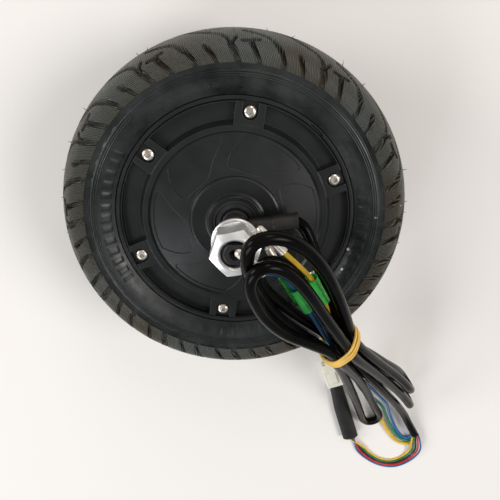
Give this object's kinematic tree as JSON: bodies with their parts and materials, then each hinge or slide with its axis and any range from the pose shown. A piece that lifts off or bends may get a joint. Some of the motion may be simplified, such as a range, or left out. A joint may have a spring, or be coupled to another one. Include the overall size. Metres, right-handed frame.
{
  "type": "hub motor wheel",
  "caption": "Small pneumatic scooter wheel with an outer-rotor electric motor in its hub, a through axle with nuts, and a tied hank of motor cable.",
  "frame": {"origin": "centre of the wheel, on the axle, midway between the rim flanges", "axes": "+Z along the axle towards the side where the cable leaves, +X the way the cable leaves the axle, +Y square to both"},
  "size_m": [0.27, 0.3723, 0.142],
  "materials": {
    "tyre_rubber": "moulded tread rubber, matt",
    "butyl_rubber": "matt",
    "valve_brass": "turned",
    "black_plastic": "moulded",
    "black_paint": "satin black",
    "screw_steel": "plain",
    "dark_steel": "turned",
    "magnet_nickel": "nickel plate",
    "seal_rubber": "smooth",
    "bearing_steel": "ground",
    "ball_steel": "polished",
    "cage_steel": "pressed",
    "black_oxide": "black oxide steel",
    "cable_jacket": "smooth pvc",
    "cast_aluminium": "cast",
    "lamination_steel": "stacked laminations",
    "insulator_green": "moulded",
    "copper_wire": "enamelled copper",
    "lead_sleeve": "sleeved",
    "board_green": "solder mask",
    "zinc_chrome": "bright plated",
    "shrink_sleeve": "shrunk, matt",
    "band_rubber": "stretched",
    "tinned_copper": "tinned",
    "clear_green": "clear pvc",
    "cream_plastic": "translucent nylon",
    "wire_yellow": "pvc insulation",
    "wire_green": "pvc insulation",
    "wire_blue": "pvc insulation",
    "wire_red": "pvc insulation",
    "wire_black": "pvc insulation"
  },
  "bodies": {
    "axle_assembly": {"axle": "black_oxide", "axle_cable": "cable_jacket", "axle_key": "dark_steel", "cable_hank": "cable_jacket", "cable_lead": "cable_jacket", "cable_sleeve": "shrink_sleeve", "cable_tail": "cable_jacket", "front_axle_nut": "zinc_chrome", "front_bearing_inner_race": "bearing_steel", "front_flat_washer": "zinc_chrome", "front_insulator": "insulator_green", "front_outer_washer": "zinc_chrome", "front_spring_washer": "zinc_chrome", "hall_board": "board_green", "hall_contacts": "tinned_copper", "hall_plug": "cream_plastic", "hall_sensors": "black_plastic", "hall_sleeve": "shrink_sleeve", "hall_wire_black": "wire_black", "hall_wire_blue": "wire_blue", "hall_wire_green": "wire_green", "hall_wire_red": "wire_red", "hall_wire_yellow": "wire_yellow", "phase_terminals": "tinned_copper", "phase_wire_blue": "wire_blue", "phase_wire_green": "wire_green", "phase_wire_yellow": "wire_yellow", "rear_axle_nut": "zinc_chrome", "rear_bearing_inner_race": "bearing_steel", "rear_flat_washer": "zinc_chrome", "rear_insulator": "insulator_green", "rear_spring_washer": "zinc_chrome", "rubber_band": "band_rubber", "stator_carrier": "cast_aluminium", "stator_core": "lamination_steel", "terminal_sleeves": "clear_green", "winding_leads": "lead_sleeve", "windings": "copper_wire"},
    "rotor": {"tyre": "tyre_rubber", "inner_tube": "butyl_rubber", "valve_stem": "valve_brass", "valve_cap": "black_plastic", "hub_shell": "black_paint", "front_cover": "black_paint", "rear_cover": "black_paint", "front_cover_screws": "screw_steel", "rear_cover_screws": "screw_steel", "flux_ring": "dark_steel", "magnets": "magnet_nickel", "front_bearing_outer_race": "bearing_steel", "rear_bearing_outer_race": "bearing_steel", "front_oil_seal": "seal_rubber", "rear_oil_seal": "seal_rubber"},
    "front_ball_set": {"front_bearing_balls": "ball_steel", "front_bearing_cage": "cage_steel"},
    "rear_ball_set": {"rear_bearing_balls": "ball_steel", "rear_bearing_cage": "cage_steel"}
  },
  "joints": [
    {"name": "wheel_spin", "type": "hinge", "parent": "axle_assembly", "child": "rotor", "pos_m": [0, 0, 0], "axis": [0, 0, 1], "continuous": true},
    {"name": "front_bearing_roll", "type": "hinge", "parent": "axle_assembly", "child": "front_ball_set", "pos_m": [0, 0, 0.015], "axis": [0, 0, 1], "continuous": true},
    {"name": "rear_bearing_roll", "type": "hinge", "parent": "axle_assembly", "child": "rear_ball_set", "pos_m": [0, 0, -0.015], "axis": [0, 0, 1], "continuous": true}
  ],
  "couplings": [
    {"joint": "front_bearing_roll", "follows": "wheel_spin", "ratio": 0.6013},
    {"joint": "rear_bearing_roll", "follows": "wheel_spin", "ratio": 0.6013}
  ]
}
